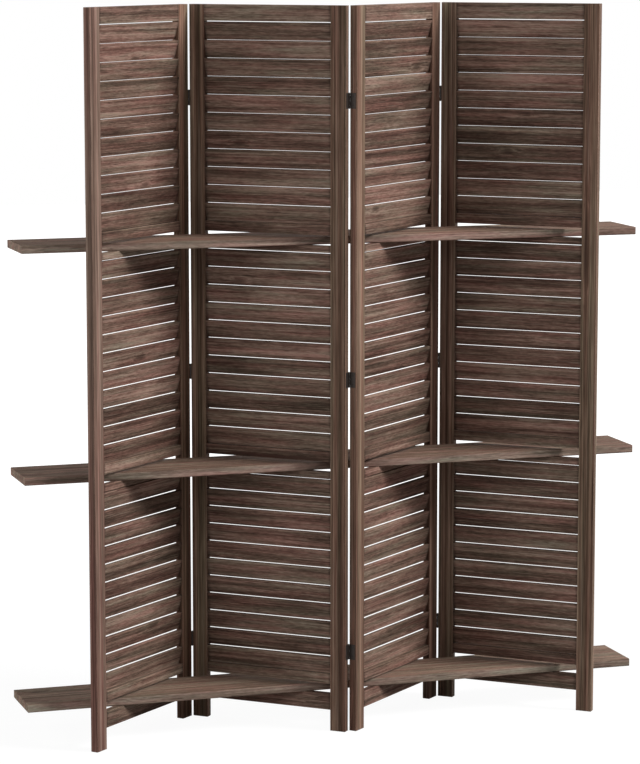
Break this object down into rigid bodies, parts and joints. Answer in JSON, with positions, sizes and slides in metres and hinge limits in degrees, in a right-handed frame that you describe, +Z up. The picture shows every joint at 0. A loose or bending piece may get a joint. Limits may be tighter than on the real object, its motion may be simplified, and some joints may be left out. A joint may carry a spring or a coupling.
{
  "type": "folding screen with shelves",
  "caption": "Hinged louvred wooden folding screen standing in a zigzag, with long shelf boards threaded through slots in its panels.",
  "frame": {"origin": "on the floor, under the middle of the shelf boards and of the row of panels' depth", "axes": "+X along the row of panels to the viewer's right, +Y to the back, +Z up"},
  "size_m": [1.5, 0.275, 1.7],
  "materials": {
    "panel_wood": "weathered brown stain, matt, with streaky grain",
    "shelf_wood": "weathered brown stain, matt, lighter on the edges",
    "black_steel": "black, satin"
  },
  "bodies": {
    "panel_1": {"panel_1_left_stile_with_slats": "panel_wood", "panel_1_right_stile": "panel_wood", "panel_1_top_rail": "panel_wood", "panel_1_bottom_rail": "panel_wood", "panel_1_top_shelf_upper_rail": "panel_wood", "panel_1_top_shelf_lower_rail": "panel_wood", "panel_1_middle_shelf_upper_rail": "panel_wood", "panel_1_middle_shelf_lower_rail": "panel_wood", "panel_1_bottom_shelf_upper_rail": "panel_wood", "left_fold_bottom_hinge_pin_leaf": "black_steel", "left_fold_middle_hinge_pin_leaf": "black_steel", "left_fold_top_hinge_pin_leaf": "black_steel"},
    "panel_2": {"panel_2_left_stile_with_slats": "panel_wood", "panel_2_right_stile": "panel_wood", "panel_2_top_rail": "panel_wood", "panel_2_bottom_rail": "panel_wood", "panel_2_top_shelf_upper_rail": "panel_wood", "panel_2_top_shelf_lower_rail": "panel_wood", "panel_2_middle_shelf_upper_rail": "panel_wood", "panel_2_middle_shelf_lower_rail": "panel_wood", "panel_2_bottom_shelf_upper_rail": "panel_wood", "left_fold_bottom_hinge_leaf": "black_steel", "left_fold_middle_hinge_leaf": "black_steel", "left_fold_top_hinge_leaf": "black_steel", "centre_fold_bottom_hinge_pin_leaf": "black_steel", "centre_fold_middle_hinge_pin_leaf": "black_steel", "centre_fold_top_hinge_pin_leaf": "black_steel"},
    "panel_3": {"panel_3_left_stile_with_slats": "panel_wood", "panel_3_right_stile": "panel_wood", "panel_3_top_rail": "panel_wood", "panel_3_bottom_rail": "panel_wood", "panel_3_top_shelf_upper_rail": "panel_wood", "panel_3_top_shelf_lower_rail": "panel_wood", "panel_3_middle_shelf_upper_rail": "panel_wood", "panel_3_middle_shelf_lower_rail": "panel_wood", "panel_3_bottom_shelf_upper_rail": "panel_wood", "centre_fold_bottom_hinge_leaf": "black_steel", "centre_fold_middle_hinge_leaf": "black_steel", "centre_fold_top_hinge_leaf": "black_steel", "right_fold_bottom_hinge_pin_leaf": "black_steel", "right_fold_middle_hinge_pin_leaf": "black_steel", "right_fold_top_hinge_pin_leaf": "black_steel"},
    "panel_4": {"panel_4_left_stile_with_slats": "panel_wood", "panel_4_right_stile": "panel_wood", "panel_4_top_rail": "panel_wood", "panel_4_bottom_rail": "panel_wood", "panel_4_top_shelf_upper_rail": "panel_wood", "panel_4_top_shelf_lower_rail": "panel_wood", "panel_4_middle_shelf_upper_rail": "panel_wood", "panel_4_middle_shelf_lower_rail": "panel_wood", "panel_4_bottom_shelf_upper_rail": "panel_wood", "right_fold_bottom_hinge_leaf": "black_steel", "right_fold_middle_hinge_leaf": "black_steel", "right_fold_top_hinge_leaf": "black_steel"},
    "middle_shelf": {"middle_shelf_board": "shelf_wood"},
    "top_shelf": {"top_shelf_board": "shelf_wood"},
    "bottom_shelf": {"bottom_shelf_board": "shelf_wood"}
  },
  "joints": [
    {"name": "centre_fold", "type": "hinge", "parent": "panel_2", "child": "panel_3", "pos_m": [0.008, -0.12403, 0.85], "axis": [0, 0, 1], "range_deg": [-10, 96]},
    {"name": "left_fold", "type": "hinge", "parent": "panel_2", "child": "panel_1", "pos_m": [-0.30483, 0.12403, 0.85], "axis": [0, 0, 1], "range_deg": [-10, 96]},
    {"name": "right_fold", "type": "hinge", "parent": "panel_3", "child": "panel_4", "pos_m": [0.32083, 0.12403, 0.85], "axis": [0, 0, 1], "range_deg": [-96, 10]},
    {"name": "middle_shelf_turn", "type": "hinge", "parent": "panel_2", "child": "middle_shelf", "pos_m": [-0.14841, 0, 0.627], "axis": [0, 0, 1], "range_deg": [-5, 48]},
    {"name": "top_shelf_slide", "type": "slide", "parent": "middle_shelf", "child": "top_shelf", "axis": [1, 0, 0], "range_m": [-1.4, 1.4]},
    {"name": "bottom_shelf_slide", "type": "slide", "parent": "middle_shelf", "child": "bottom_shelf", "axis": [1, 0, 0], "range_m": [-1.4, 1.4]}
  ],
  "couplings": [
    {"joint": "left_fold", "follows": "centre_fold", "ratio": 1},
    {"joint": "right_fold", "follows": "centre_fold", "ratio": -1},
    {"joint": "middle_shelf_turn", "follows": "centre_fold", "ratio": 0.5}
  ]
}
